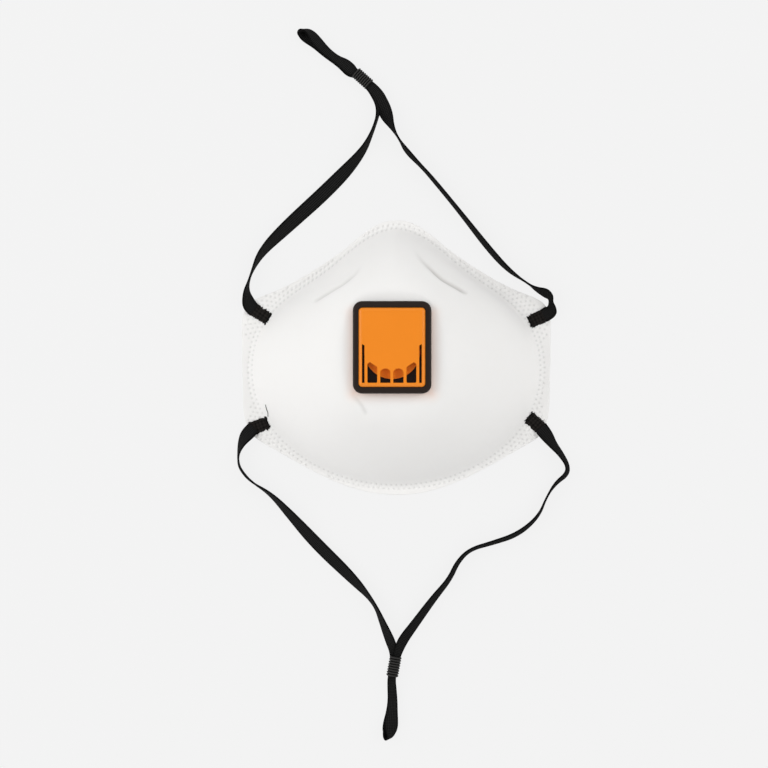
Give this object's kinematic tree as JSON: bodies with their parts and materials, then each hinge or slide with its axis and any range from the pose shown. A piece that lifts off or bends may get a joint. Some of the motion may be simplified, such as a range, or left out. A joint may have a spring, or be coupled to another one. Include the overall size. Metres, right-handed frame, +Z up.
{
  "type": "disposable dust mask",
  "caption": "Moulded cup dust mask with a louvred exhalation valve and two elastic head straps with sliding toggles.",
  "frame": {"origin": "centre of the rim, in the plane that the rim rests on", "axes": "+Z up through the front of the mask, +Y towards the nose, +X across the face"},
  "size_m": [0.1488, 0.3181, 0.0516],
  "materials": {
    "cover_web": "matt moulded non-woven, white",
    "filter_web": "matt melt-blown web, white",
    "liner_web": "matt moulded shell, white",
    "clip_metal": "soft bare strip",
    "foam": "open-cell foam, dark grey",
    "valve_black": "satin moulded plastic, black",
    "valve_orange": "satin moulded plastic, orange",
    "flap_silicone": "silicone, orange",
    "strap_elastic": "knitted elastic, black",
    "toggle_black": "ribbed moulded plastic, black"
  },
  "bodies": {
    "mask": {"outer_cover": "cover_web", "filter_layer": "filter_web", "inner_liner": "liner_web", "nose_clip": "clip_metal", "nose_foam": "foam", "valve_base": "valve_black", "valve_retainer": "valve_black", "valve_cover": "valve_orange", "upper_left_strap_weld": "strap_elastic", "upper_right_strap_weld": "strap_elastic", "lower_left_strap_weld": "strap_elastic", "lower_right_strap_weld": "strap_elastic", "upper_strap": "strap_elastic", "lower_strap": "strap_elastic"},
    "flap": {"valve_diaphragm": "flap_silicone"},
    "upper_toggle": {"upper_toggle": "toggle_black"},
    "lower_toggle": {"lower_toggle": "toggle_black"}
  },
  "joints": [
    {"name": "flap_lift", "type": "slide", "parent": "mask", "child": "flap", "axis": [0, 0, 1], "range_m": [0, 0.001], "stiffness_N_per_m": 5, "springref_m": -0.002},
    {"name": "upper_toggle_slide", "type": "slide", "parent": "mask", "child": "upper_toggle", "axis": [-0.7431, 0.6691, 0], "range_m": [0, 0.008]},
    {"name": "lower_toggle_slide", "type": "slide", "parent": "mask", "child": "lower_toggle", "axis": [-0.184, -0.9829, 0], "range_m": [0, 0.007]}
  ]
}
